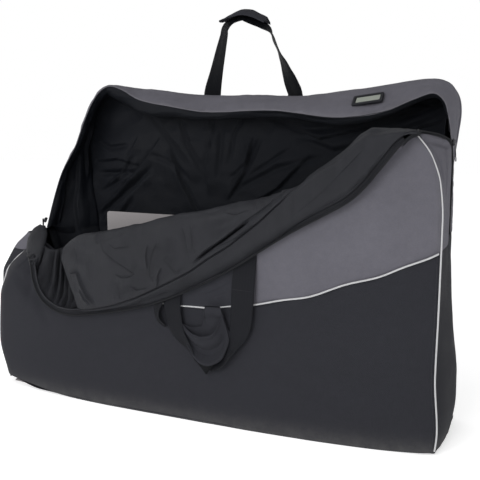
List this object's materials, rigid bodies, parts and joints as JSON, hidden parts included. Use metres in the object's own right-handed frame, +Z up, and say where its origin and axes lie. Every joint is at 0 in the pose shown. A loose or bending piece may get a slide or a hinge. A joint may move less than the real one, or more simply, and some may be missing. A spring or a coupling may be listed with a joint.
{
  "type": "soft bike travel bag",
  "caption": "Upright padded fabric bag for a bicycle, zip open, its front folded out over a slanting crest, with webbing handles.",
  "frame": {"origin": "on the flat underside of the base, in the middle of the bag's length and of its gusset's width", "axes": "+Z up, +X along the bag's length towards the end where the zip stops, front (folded-out side) towards -Y"},
  "size_m": [1.3214, 0.343, 1.0886],
  "materials": {
    "black_fabric": "coated woven nylon, matt black",
    "grey_fabric": "coated woven nylon, matt mid grey",
    "lining": "thin smooth taffeta lining, black with a soft sheen",
    "padding": "closed-cell foam sheet, sealed between fabric and lining",
    "webbing": "woven polypropylene webbing, black",
    "piping": "silver-grey reflective piping",
    "zip_tape": "woven zip tape, black",
    "zip_coil": "moulded nylon zip coil, black",
    "zip_metal": "dull nickel-plated slider",
    "board": "plain light grey stiffening board",
    "window": "flexible clear film over a blank card",
    "card": "plain blank card"
  },
  "bodies": {
    "bag": {"base_board": "board", "base_panel": "black_fabric", "divider_board": "board", "floor_lining": "lining", "front_lining": "lining", "front_padding": "padding", "front_panel_lower": "black_fabric", "front_panel_upper": "grey_fabric", "label_frame": "webbing", "left_gusset_lining": "lining", "left_gusset_lower": "black_fabric", "left_gusset_rear_half": "grey_fabric", "left_gusset_rear_lining": "lining", "left_gusset_turned_out": "lining", "left_gusset_upper": "grey_fabric", "piping_front_left": "piping", "piping_front_right": "piping", "piping_rear_left": "piping", "piping_rear_right": "piping", "piping_rear_seam": "piping", "piping_wave": "piping", "rear_handle_anchor_left": "webbing", "rear_handle_anchor_right": "webbing", "rear_lining": "lining", "rear_padding": "padding", "rear_panel_lower": "black_fabric", "rear_panel_upper": "grey_fabric", "right_gusset_front_half": "grey_fabric", "right_gusset_lining": "lining", "right_gusset_lower": "black_fabric", "right_gusset_rear_half": "grey_fabric", "top_gusset_lining": "lining", "top_gusset_rear": "grey_fabric", "zip_coil_left": "zip_coil", "zip_coil_rear": "zip_coil", "zip_coil_right": "zip_coil", "zip_tape_rear": "zip_tape", "zip_tape_right": "zip_tape"},
    "front_flap": {"flap_gusset": "grey_fabric", "flap_gusset_lining": "lining", "flap_lining": "lining", "flap_padding": "padding", "flap_panel": "grey_fabric", "front_handle_anchor_left": "webbing", "front_handle_anchor_right": "webbing", "zip_coil_front": "zip_coil", "zip_tape_front": "zip_tape"},
    "front_handle": {"front_handle_grip": "webbing", "front_handle_leg_left": "webbing", "front_handle_leg_right": "webbing"},
    "rear_handle": {"rear_handle_grip": "webbing", "rear_handle_leg_left": "webbing", "rear_handle_leg_right": "webbing"},
    "right_slider": {"zip_slider_right": "zip_metal"},
    "right_pull": {"zip_pull_right": "zip_metal"},
    "left_slider": {"zip_slider_left": "zip_metal"},
    "left_pull": {"zip_pull_left": "zip_metal"},
    "label_card": {"address_card": "card"}
  },
  "joints": [
    {"name": "flap_fold", "type": "hinge", "parent": "bag", "child": "front_flap", "pos_m": [0, -0.148, 0.555], "axis": [-0.9438, 0, -0.3304], "range_deg": [0, 185]},
    {"name": "front_handle_swing", "type": "hinge", "parent": "front_flap", "child": "front_handle", "pos_m": [0.06, -0.1773, 0.352], "axis": [-0.9167, 0, -0.3997], "range_deg": [0, 30]},
    {"name": "rear_handle_swing", "type": "hinge", "parent": "bag", "child": "rear_handle", "pos_m": [0.06, 0.131, 0.862], "axis": [-1, 0, 0], "range_deg": [0, 150]},
    {"name": "right_slider_run", "type": "slide", "parent": "bag", "child": "right_slider", "axis": [0, 0, 1], "range_m": [0, 0.05]},
    {"name": "right_pull_swing", "type": "hinge", "parent": "right_slider", "child": "right_pull", "pos_m": [0.65, 0, 0.735], "axis": [0, -1, 0], "range_deg": [0, 150]},
    {"name": "left_slider_run", "type": "slide", "parent": "bag", "child": "left_slider", "axis": [0.3529, 0, 0.9357], "range_m": [0, 0.15]},
    {"name": "left_pull_swing", "type": "hinge", "parent": "left_slider", "child": "left_pull", "pos_m": [-0.5835, -0.006, 0.487], "axis": [0, 1, 0], "range_deg": [0, 150]},
    {"name": "card_slide", "type": "slide", "parent": "bag", "child": "label_card", "axis": [0.9908, 0, 0.1355], "range_m": [0, 0.055]}
  ]
}
